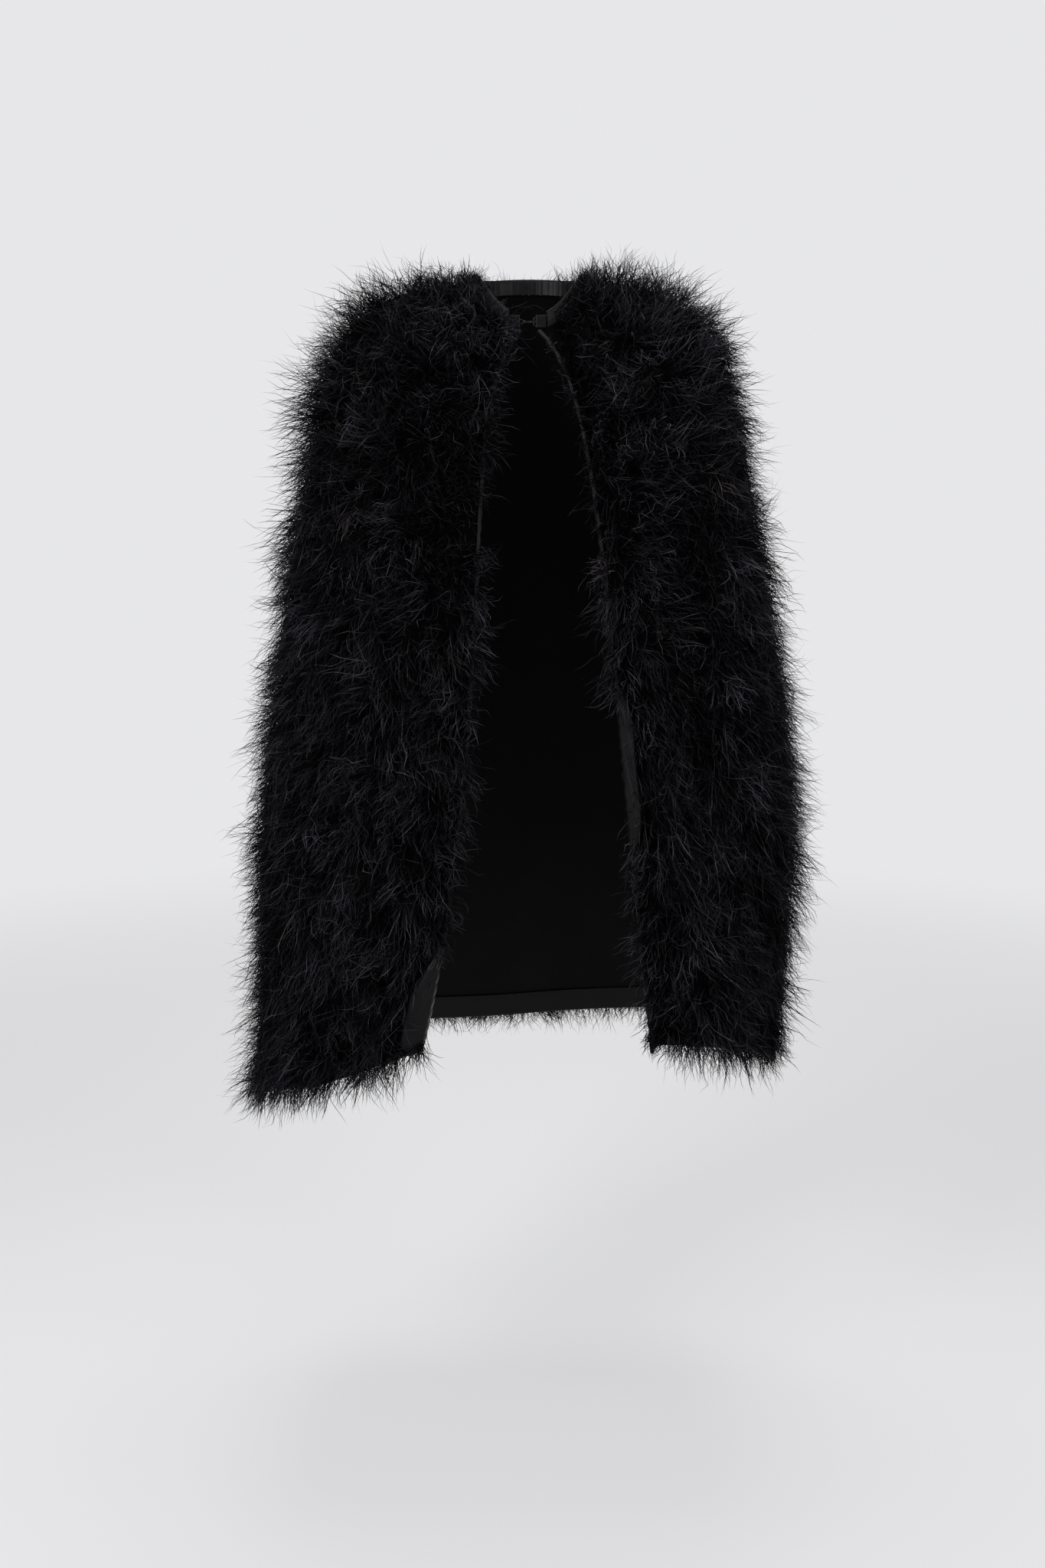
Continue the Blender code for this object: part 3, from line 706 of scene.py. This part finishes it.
def barb_painted_light(pile, pick, quill, wisp, rng):
    """Each tuft's tone, and each barb's painted light: most barbs are painted dark, and a few get a painted
    highlight.
    """
    tufts = len(pile.valley)
    tone = np.clip(np.round(1.0 + 0.9 * rng.normal(size=tufts)), 0, 2).astype(int)
    tone[rng.uniform(size=tufts) < 0.05] = 3
    # Painted light: a random brightness for each tuft and barb, which the material maps so that most are
    # dark and a few bright.
    painted_light = np.clip(0.42 + 0.16 * rng.normal(size=tufts)[pick] + rng.normal(0, 0.2, len(pick)), 0, 0.9)
    # Painted shade: barbs in the grooves, pockets and valleys of the pile are painted darker; wisps are
    # painted lighter and quills darker.
    painted_light = painted_light - 0.28 * np.clip(pile.grooves + pile.pockets + pile.valley, 0, 1)[pick]
    painted_light = painted_light + np.where(wisp, 0.25, 0) - np.where(quill, 0.2, 0)
    return tone, np.clip(painted_light, 0, 0.92)


def strip_feathers(name, strip, seed):
    """The feathers of one strip, as one mesh of needles."""
    rng = np.random.default_rng(seed)
    tufts = grown_tufts(strip, rng)
    pile = pile_shape(strip, tufts)
    lean = tuft_leans(tufts, pile, rng)
    length = tuft_lengths(tufts, pile, rng)
    pick = np.repeat(np.arange(len(length)), BARBS_PER_TUFT)
    quill = np.tile(np.arange(BARBS_PER_TUFT) == 0, len(length))
    count = len(pick)
    wisp = rng.uniform(size=count) < WISPS
    path = barb_paths(tufts, pile, lean, length, pick, quill, wisp, rng)
    radii = BARB_RADIUS * rng.uniform(0.55, 1.15, count) * np.where(wisp, 0.62, 1)
    radii[quill] *= 1.4
    points, triangles, each = needles(path, radii, unit(rng.normal(size=(count, 3))))
    tone, painted_light = barb_painted_light(pile, pick, quill, wisp, rng)
    obj = mesh_object(name, points, triangles, BARBS, np.repeat(tone[pick], each))
    ring_shares = np.append(np.repeat(STATIONS, 3), 1.0)
    add_attribute(obj, "along", np.tile(ring_shares, count))
    # Each barb's painted light (painted highlight or painted shade), kept on its points for the material.
    add_attribute(obj, "painted_light", np.repeat(painted_light, len(ring_shares)))
    return obj


def side_of_strip(number):
    """+1 on the wearer's left front, -1 on the right front, 0 behind."""
    if number < SIDE_SEAM_STRIPS:
        return 1
    return -1 if number >= MAIN_STRIPS - SIDE_SEAM_STRIPS else 0


def attach(obj, side, body="root"):
    """A piece beside a front keeps its place, with its transform applied to its mesh, and any other rides on
    one body.
    """
    if not side:
        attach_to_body(obj, body)
        return
    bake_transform(obj)


LOOSE_STOPS = np.linspace(0, 1, 12)
LOOSE_RADIUS = 0.00025
# Loose barbs that arch over and under the hook from the wearer's right: (start, middle, end) in x and z.
LOOSE_BARBS = (
    ((-0.022, -0.062), (-0.004, -0.031), (0.014, -0.050)),
    ((-0.026, -0.052), (-0.010, -0.040), (0.000, -0.047)),
    ((-0.024, -0.074), (-0.002, -0.088), (0.004, -0.074)),
    ((-0.026, -0.080), (-0.008, -0.098), (0.006, -0.112)),
    ((-0.030, -0.070), (-0.014, -0.078), (-0.001, -0.094)),
)


def loose_barbs():
    shares = LOOSE_STOPS[:, None]
    front = cloth_point(0.0, 0.0)[1] - 0.012
    paths = []
    for start, middle, end in LOOSE_BARBS:
        flat = (1 - shares) ** 2 * start + 2 * shares * (1 - shares) * np.array(middle) + shares**2 * end
        depth = front - 0.004 * np.sin(math.pi * shares)
        paths.append(np.concatenate([flat[:, :1], depth, flat[:, 1:]], axis=1))
    spins = np.tile([0.2, 0.9, 0.4], (len(paths), 1))
    points, triangles, _ = needles(np.array(paths), np.full(len(paths), LOOSE_RADIUS), spins)
    obj = mesh_object("loose_barbs", points, triangles, BARBS[:1])
    ring_shares = np.append(np.repeat(LOOSE_STOPS[:-1], 3), 1.0)
    # Painted light along each loose barb, painted shade towards its root, and a middling painted brightness
    # for each.
    add_attribute(obj, "along", np.tile(0.3 + 0.6 * ring_shares, len(paths)))
    add_attribute(obj, "painted_light", np.full(len(points), 0.5))
    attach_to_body(obj, "root")


def replace_strip(name, node, strip, seed, side):
    obj = strip_feathers(name, strip, seed)
    attach(obj, side)
    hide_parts(node)


def feathers():
    loose_barbs()
    for number in range(MAIN_STRIPS):
        end = f"{number + 1:02d}"
        strip = ("main", number)
        replace_strip(f"feathers_{end}", f"marabou_strip_{end}", strip, 100 + number, side_of_strip(number))
    for side, word in ((1, "left"), (-1, "right")):
        for number in range(PANEL_STRIPS):
            end = f"{number + 1}"
            seed = 200 + 10 * side + number
            names = (f"{word}_front_feathers_{end}", f"{word}_front_strip_{end}")
            replace_strip(*names, (side, number), seed, side)


# ---- Cloth ----

SEAM = SIDE_SEAM_STRIPS / MAIN_STRIPS  # the side seam's share of the way round the main cloth


def whole_front(side, columns):
    """A function that gives the angles from a front edge to its side seam."""

    def angles(place):
        edge = edge_angle(side, place)
        last = main_angle(SEAM, place) if side > 0 else main_angle(1 - SEAM, place) - 2 * math.pi
        return edge + (last - edge) * np.linspace(0, 1, columns)

    return angles


def back_angles(columns):
    """A function that gives the angles from one side seam to the other."""
    return lambda place: main_angle(np.linspace(SEAM, 1 - SEAM, columns), np.full(columns, place))


ROWS = np.linspace(0.006, 1.0, 130)


def flat_layer(angles, places):
    return 0 * places


def lining_folds(angles, places):
    """Soft folds that hang inwards, none at the edges that are sewn."""
    waves = 0.5 + 0.5 * np.sin(17 * angles + 1.6 * np.sin(3 * angles) + 4 * places)
    drape = np.clip((places - 0.12) / 0.5, 0, 1) * np.clip((0.965 - places) / 0.08, 0, 1)
    beside_gap = np.clip((np.abs(angles) - 0.75) / 0.3, 0, 1)
    drape = drape * np.where(np.cos(angles) > 0, beside_gap, 1)
    return -0.0035 * drape * waves


def cloth_grid(angles_at, height, folds):
    """A grid of points at this height over the shell's inner face. angles_at(place) gives a row."""
    angles = np.array([angles_at(place) for place in ROWS])
    places = np.repeat(ROWS[:, None], angles.shape[1], axis=1)
    return layer_point(angles, places, height + folds(angles, places))


def cloths(sewn_on):
    for kind, (inner, outer), made, folds, slot in (
        ("shell", SHELL, SHELL_CLOTH, flat_layer, "shell_satin"),
        ("lining", LINING, LINING_SATIN, lining_folds, "lining_satin"),
    ):
        for word, side in (("left", 1), ("back", 0), ("right", -1)):
            angles_at = whole_front(side, 70) if side else back_angles(140)
            grid = cloth_grid(angles_at, outer, folds)
            obj = sheet_object(f"{kind}_cloth_{word}", grid, cloth_grid(angles_at, inner, folds), made)
            attach(obj, side)
            nodes = [f"{kind}_{word}"] + ([f"{kind}_{word}_front"] if side else [])
            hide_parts(*nodes)


# ---- Facings, binding and neckband ----

SATIN = 0.0006  # thickness of the trims' satin
HAND_STITCH = 0.0034  # from stitch to stitch
STITCH_LENGTH = 0.0022
STITCH_RADIUS = 0.00017
STITCH_RISE = np.array([-0.0001, 0.0002, 0.00024, 0.0002, -0.0001])  # out of the cloth, from end to end


def from_edge(side, place, inside, height):
    """A point this far inside a front edge, at this height over the shell's inner face."""
    step = 1e-3
    edge = edge_angle(side, place)
    per_radian = np.linalg.norm(cloth_point(edge + step, place) - cloth_point(edge - step, place), axis=-1)
    return layer_point(edge + side * inside / (per_radian / (2 * step)), place, height)


def satin_sheet(name, grid):
    """A sheet of trim satin about a grid of points."""
    normal = unit(np.cross(np.gradient(grid, axis=0), np.gradient(grid, axis=1))) * SATIN / 2
    return sheet_object(name, grid + normal, grid - normal, TRIM_SATIN)


def stitches(name, line, outwards):
    """A row of hand stitches along a line of points, standing up from the cloth in the middle."""
    lengths = np.concatenate([[0], np.cumsum(np.linalg.norm(np.diff(line, axis=0), axis=1))])
    starts = np.arange(HAND_STITCH / 2, lengths[-1] - HAND_STITCH, HAND_STITCH)
    at = starts[:, None] + STITCH_LENGTH * np.linspace(0, 1, len(STITCH_RISE))
    path = np.stack([np.interp(at, lengths, line[:, k]) for k in range(3)], axis=-1)
    lift = np.stack([np.interp(at, lengths, outwards[:, k]) for k in range(3)], axis=-1)
    path += lift * STITCH_RISE[:, None]
    spins = np.tile([0.31, 0.62, 0.72], (len(path), 1))
    points, triangles, _ = needles(path, np.full(len(path), STITCH_RADIUS), spins)
    return mesh_object(name, points, triangles, [THREAD])


def sewn_trim(obj, threads, nodes, side=0, body="root"):
    """A satin piece and its rows of stitches."""
    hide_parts(*nodes)
    attach(obj, side, body)
    for thread in threads:
        attach(thread, side, body)
    return [obj, *threads]


FACING_LIFT = -0.0036  # the facing's own middle, inside the lining
TURNED_LIFT = 0.0024  # and where it is turned over the shell
FLAP_LIFT = 0.012  # further out over the feathers' roots, where it is turned widest
SCALLOP = 0.016  # length of the puckers along a turned edge
ROUND_FROM = 0.972  # the facing's turned corner is rounded from this place down
POINT_FROM = 0.975  # and the left front's corner draws out to a point from here down
CORNER_DROP = 0.013  # how far that point hangs below the feathers
CORNER_ROUND = 0.008  # how far the right front's corner is drawn up
CORNER_WIDTH = 0.007


def front_facing(side, word):
    """The satin inside a front edge, which turns out round the edge and puckers."""
    places = np.concatenate([np.linspace(0.004, 0.97, 420), np.linspace(ROUND_FROM, 1.0, 16)])
    ones = np.ones(len(places))
    heights = cloth_point(edge_angle(side, places), places)[:, 2]
    flap = flap_width(side * ones, heights)
    foot = np.clip((places - ROUND_FROM) / (1 - ROUND_FROM), 0, 1)
    flap = flap * np.sqrt(1 - 0.85 * foot**2)
    wide = np.clip((flap - TURNED_EDGE) / 0.012, 0, 1)
    pucker = np.abs(np.sin(math.pi * heights / SCALLOP + 0.8 * np.sin(heights * 37)))
    top = TURNED_LIFT + FLAP_LIFT * wide * (0.5 if side > 0 else 1.0) * (1 - foot**2)
    # Across it, from its sewn edge inside, round the front edge and over the shell: (inside, height).
    rows = [(inside * ones, FACING_LIFT * ones) for inside in np.linspace(FACING_WIDTH, 0.001, 12)]
    middle, radius = (top + FACING_LIFT) / 2, (top - FACING_LIFT) / 2
    reach = np.minimum(radius, 0.0018) * (0.7 + 0.6 * pucker)
    for turn in np.radians(np.linspace(-80, 80, 9)):
        rows.append((-reach * math.cos(turn), middle + radius * math.sin(turn)))
    for share in np.linspace(0.06, 1, 12):
        ripple = 0.0006 * np.sin(2 * math.pi * (share * 1.6 + heights / 0.085)) * (0.3 + wide)
        sink = (top - TURNED_LIFT + 0.0014) * np.maximum(0, (share - 0.8) / 0.2) ** 2
        rows.append((flap * share, top - sink + ripple * min(1, 3 * (1 - share) + 0.3)))
    grid = np.stack([from_edge(side, places, inside, height) for inside, height in rows], axis=1)
    inside = np.stack([row[0] for row in rows], axis=1)
    near_edge = np.exp(-((inside / CORNER_WIDTH) ** 2))
    if side < 0:  # the turned corner is soft and rounded
        grid[..., 2] += CORNER_ROUND * (foot**2)[:, None] * near_edge
    else:  # the corner of the cloth hangs out below the feathers as a small point
        late = np.clip((places - POINT_FROM) / (1 - POINT_FROM), 0, 1)[:, None] ** 2
        grid[..., 2] -= CORNER_DROP * late * near_edge
    obj = satin_sheet(f"front_facing_{word}", grid)
    sewn = slice(6, -12)
    inwards = -directions(edge_angle(side, places), places)[2]
    thread = stitches(f"facing_stitches_{word}", grid[sewn, 1], inwards[sewn])
    return sewn_trim(obj, [thread], (f"facing_{word}", f"facing_{word}_upper"), side)


BINDING_FOLD = 0.0024  # how far the band's fold hangs below the hem


def hem_binding(word, side, angles_at):
    """A folded band round the hem, sewn through near its upper edge."""
    inner = [(place, FACING_LIFT, 0.0) for place in np.linspace(BINDING_TOP, 0.999, 7)]
    middle, radius = (TURNED_LIFT + FACING_LIFT) / 2, (TURNED_LIFT - FACING_LIFT) / 2
    turns = np.radians(np.linspace(-85, 85, 9))
    turn = [(1.0, middle + radius * math.sin(a), BINDING_FOLD * math.cos(a)) for a in turns]
    outer = [(place, TURNED_LIFT, 0.0) for place in np.linspace(0.999, 0.993, 4)]
    rows = []
    for place, height, beyond in inner + turn + outer:
        row_angles = angles_at(place)
        spots = np.full(len(row_angles), place)
        ripple = 0.00035 * np.sin(row_angles * 41) * np.sin(row_angles * 17 + 1)
        point = layer_point(row_angles, spots, np.full(len(row_angles), height) + ripple)
        rows.append(point + directions(row_angles, spots)[1] * beyond)
    grid = np.array(rows)
    obj = satin_sheet(f"hem_band_{word}", grid)
    row_angles = angles_at(BINDING_TOP)
    out = directions(row_angles, np.full(len(row_angles), BINDING_TOP))[2]
    thread = stitches(f"hem_stitches_{word}", grid[1] - out * 0.0003, -out)
    nodes = ["hem_binding_back"] + ([f"hem_binding_{word}"] if side else [])
    return sewn_trim(obj, [thread], nodes, side)


BAND_LIFT = 0.0022
BAND_GAP = 0.0006  # between the band and its stiffened ends
TAB_LENGTH = 0.012
LEFT_TAB_END = 0.0025  # the x at which each end meets the gap
RIGHT_TAB_END = -0.016
# The band's section, as (outwards, up) from its foot: it flares over the top of the cloth.
BAND_SECTION = (
    (0.0034, -0.0042), (0.0019, -0.0004), (0.0012, 0.0045), (0.0014, 0.0090),
    (0.0010, 0.0130), (0.0, 0.0142), (-0.0010, 0.0130), (-0.0014, 0.0090),
    (-0.0012, 0.0045), (-0.0016, -0.0004), (-0.0022, -0.0050), (0.0006, -0.0046),
)
# Its two rows of stitches: (name, height, how far out).
BAND_ROWS = (("upper", 0.0112, 0.0014), ("lower", 0.0030, 0.0015))


def loft_object(name, sections, made):
    """A closed body through equal closed sections."""
    count, sides = sections.shape[:2]
    number = np.arange(count * sides).reshape(count, sides)
    a, b = number[:-1], np.roll(number[:-1], -1, axis=1)
    c, d = number[1:], np.roll(number[1:], -1, axis=1)
    faces = [np.stack([a, b, d], -1).reshape(-1, 3), np.stack([a, d, c], -1).reshape(-1, 3)]
    fan = np.arange(1, sides - 1)
    faces.append(np.stack([0 * fan, fan + 1, fan], -1))
    last = (count - 1) * sides
    faces.append(np.stack([last + 0 * fan, last + fan, last + fan + 1], -1))
    obj = mesh_object(name, sections.reshape(-1, 3), np.concatenate(faces), [made])
    obj.data.set_sharp_from_angle(angle=math.radians(50))
    return obj


def neckline_angle(x):
    """The neckline's angle in front, at this x."""
    return angle_where(math.copysign(1, x), np.zeros(1), lambda z: abs(x))[0]


def neckband():
    first = neckline_angle(LEFT_TAB_END + TAB_LENGTH + BAND_GAP)
    last = neckline_angle(RIGHT_TAB_END - TAB_LENGTH - BAND_GAP) + 2 * math.pi
    angles = np.linspace(first, last, 260)
    step = 1e-3
    along = unit(cloth_point(angles + step, 0.0) - cloth_point(angles - step, 0.0))
    out = unit(np.stack([along[:, 1], -along[:, 0], 0 * angles], axis=1))
    foot = cloth_point(angles, 0.0) + [0, 0, BAND_LIFT]
    section = np.array(BAND_SECTION)
    ripple = 0.0003 * np.sin(angles * 67) * np.sin(angles * 23 + 0.6)
    sections = foot[:, None] + out[:, None] * (section[:, :1] + ripple[:, None, None])
    sections[..., 2] += section[:, 1]
    band = loft_object("neckband_satin", sections, TRIM_SATIN)
    threads = []
    for word, height, offset in BAND_ROWS:
        line = foot + out * (offset + ripple[:, None])
        line[:, 2] += height
        threads.append(stitches(f"neckband_stitches_{word}", line, out))
    sewn_trim(band, threads, ["neckband"])


TAB_SIDES = 48
TAB_EDGE, TAB_FACE = 0.35, 0.6  # roundness of its section: 1 would be an ellipse
PLEATS = 3
PLEAT_DEPTH = 0.00030
TAB_ROWS = (-0.36, 0.38)  # heights of its stitches, as shares of its own


def band_tab(name, node, body, closed_side):
    """A folded satin end of the neckband: three pleats in front, closed at the end with a soft edge."""
    lows, highs = (np.array(corner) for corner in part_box(node))
    middle_y, middle_z = (lows[1] + highs[1]) / 2, (lows[2] + highs[2]) / 2
    tall, thick = highs[2] - lows[2], highs[1] - lows[1]
    sections = []
    for share in np.linspace(0, 1, 25):
        x = lows[0] + (highs[0] - lows[0]) * share
        from_end = share if closed_side < 0 else 1 - share
        soft = math.sqrt(min(1, from_end / 0.10 + 0.12))
        outline = []
        for k in range(TAB_SIDES):
            turn = 2 * math.pi * k / TAB_SIDES
            across, up = math.cos(turn), math.sin(turn)
            z = math.copysign(abs(up) ** TAB_EDGE, up) * tall / 2 * (0.96 + 0.04 * soft)
            y = -math.copysign(abs(across) ** TAB_FACE, across) * thick / 2 * soft
            if across > 0.05:
                pleat = abs(math.sin(PLEATS * math.pi * (z / tall + 0.5) + 0.5 * share))
                y += PLEAT_DEPTH * pleat - 0.00018
            outline.append((x, middle_y + y, middle_z + z))
        sections.append(outline)
    obj = loft_object(name, np.array(sections), TRIM_SATIN)
    xs = np.linspace(lows[0] + 0.001, highs[0] - 0.001, 40)
    front = np.full(40, lows[1] + 0.00005)
    threads = []
    for number, height in enumerate(TAB_ROWS):
        line = np.stack([xs, front, np.full(40, middle_z + tall * height)], axis=1)
        threads.append(stitches(f"{name}_stitches_{number + 1}", line, np.tile([0, -1.0, 0], (40, 1))))
    sewn_trim(obj, threads, [node], body=body)


def dress(node, made):
    """A frame's own piece in a detailed material."""
    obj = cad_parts[node]
    if not obj.material_slots:
        obj.data.materials.append(made)
    for slot in obj.material_slots:
        slot.material = made


def trims():
    left = front_facing(1, "left")
    right = front_facing(-1, "right")
    left += hem_binding("left", 1, whole_front(1, 150))
    right += hem_binding("right", -1, whole_front(-1, 150))
    back = hem_binding("back", 0, back_angles(260))
    neckband()
    band_tab("band_end_left", "neckband_left_end", "root", -1)
    band_tab("band_end_right", "neckband_right_end", "eye_end", 1)
    for node in ("wire_hook", "wire_eye"):
        dress(node, WIRE_METAL)
    for node in ("hook_thread", "eye_thread"):
        dress(node, THREAD)
    return {"left": left, "right": right, "back": back}


# ---- Stage, camera and light ----

FLOOR_Z = -1.49
FLOOR_COLOUR = (0.82, 0.82, 0.83, 1)
PALE = (0.80, 0.80, 0.815, 1)  # the background, which the floor fades into
WORLD_LIGHT = 0.22
FADE_FROM, FADE_TO = 0.3, 4.5  # distances from the cape
FADE_LEAST = 0.45
CAMERA_PLACE = (-0.013, -1.606, -0.415)
CAMERA_TURN = (math.radians(83), 0, 0)
CAMERA_LENS = 28.83  # millimetres, on a 36 mm sensor
# (name, place, what it points at, size, watts)
LIGHTS = (
    ("key", (-1.8, -2.0, 1.2), (0, 0, -0.4), (1.2, 1.6), 64),
    ("fill", (2.0, -1.8, 0.6), (0, 0, -0.5), (1.2, 1.6), 30),
    ("top", (0.0, 0.2, 1.8), (0, 0, -0.3), (1.6, 1.2), 34),
    ("behind", (0.3, 2.4, 0.7), (0, 0, -0.5), (1.8, 1.4), 20),
)


def stage():
    spot = (0, 0, FLOOR_Z)
    bpy.ops.mesh.primitive_circle_add(vertices=128, radius=14.0, fill_type="NGON", location=spot)
    floor = bpy.context.object
    floor.name = "floor"
    made, tree, shader = node_material("floor", 0.7, gloss=0.2)
    shader.inputs["Base Color"].default_value = FLOOR_COLOUR
    glow = add_node(tree, "Emission", {"Color": PALE}).outputs["Emission"]
    distance = add_node(tree, "VectorMath", {0: object_place(tree)}, operation="LENGTH").outputs["Value"]
    inputs = {"Value": distance, "From Min": FADE_FROM, "From Max": FADE_TO, "To Min": FADE_LEAST}
    fade = add_node(tree, "MapRange", inputs, interpolation_type="SMOOTHSTEP").outputs["Result"]
    mix = add_node(tree, "MixShader", {"Fac": fade, 1: shader.outputs["BSDF"], 2: glow})
    tree.links.new(mix.outputs["Shader"], tree.nodes["Material Output"].inputs["Surface"])
    floor.data.materials.append(made)

    world = bpy.data.worlds.new("studio")
    world.use_nodes = True
    tree = world.node_tree
    lighting = tree.nodes["Background"]
    lighting.inputs["Color"].default_value = PALE
    lighting.inputs["Strength"].default_value = WORLD_LIGHT
    seen = add_node(tree, "Background", {"Color": PALE}).outputs["Background"]
    to_camera = add_node(tree, "LightPath", {}).outputs["Is Camera Ray"]
    mix = add_node(tree, "MixShader", {"Fac": to_camera, 1: lighting.outputs["Background"], 2: seen})
    tree.links.new(mix.outputs["Shader"], tree.nodes["World Output"].inputs["Surface"])
    bpy.context.scene.world = world


def area_light(name, place, target, size, watts):
    data = bpy.data.lights.new(name, "AREA")
    data.shape = "RECTANGLE"
    data.size, data.size_y = size
    data.energy = watts
    lamp = bpy.data.objects.new(name, data)
    lamp.location = place
    lamp.rotation_euler = (Vector(target) - Vector(place)).to_track_quat("-Z", "Y").to_euler()
    bpy.context.scene.collection.objects.link(lamp)


def camera():
    data = bpy.data.cameras.new("camera")
    data.lens = CAMERA_LENS
    data.sensor_width = 36.0
    data.sensor_fit = "AUTO"
    view = bpy.data.objects.new("camera", data)
    view.location = CAMERA_PLACE
    view.rotation_euler = CAMERA_TURN
    bpy.context.scene.collection.objects.link(view)
    bpy.context.scene.camera = view


camera()
stage()
for light in LIGHTS:
    area_light(*light)
bpy.context.scene.view_settings.view_transform = "Standard"

feathers()
cloths(trims())
